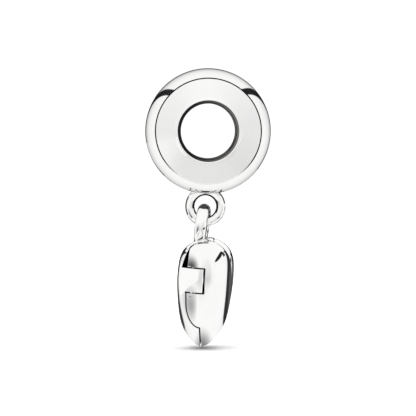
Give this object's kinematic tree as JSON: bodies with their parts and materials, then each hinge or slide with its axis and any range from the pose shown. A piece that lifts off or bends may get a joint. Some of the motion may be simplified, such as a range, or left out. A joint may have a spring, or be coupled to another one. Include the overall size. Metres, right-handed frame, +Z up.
{
  "type": "dangle charm",
  "caption": "Round spacer bead with a large bore and a soldered ring, from which an openable puffed heart locket hangs by its loop.",
  "frame": {"origin": "centre of the bead's bore, half way through the bead, where the charm hangs on its bracelet", "axes": "+Y along the bore, away from the viewer; +Z up, from the hanging heart to the bead; +X to the right"},
  "size_m": [0.0102, 0.0104, 0.0228],
  "materials": {
    "bead_silver": "polished silver, satin faces",
    "locket_silver": "polished silver, darkened seams",
    "pin_silver": "plain drawn silver wire"
  },
  "bodies": {
    "root": {"bead": "bead_silver"},
    "locket": {"locket_back": "locket_silver", "hinge_pin": "pin_silver"},
    "locket_lid": {"locket_front": "locket_silver"}
  },
  "joints": [
    {"name": "locket_swing", "type": "hinge", "parent": "root", "child": "locket", "pos_m": [-0.00022, 0, -0.00745], "axis": [1, 0, 0], "range_deg": [-70, 70]},
    {"name": "locket_hinge", "type": "hinge", "parent": "locket", "child": "locket_lid", "pos_m": [-0.0013, -0.00397, -0.01205], "axis": [-0.0698, 0, -0.9976], "range_deg": [0, 90]}
  ]
}
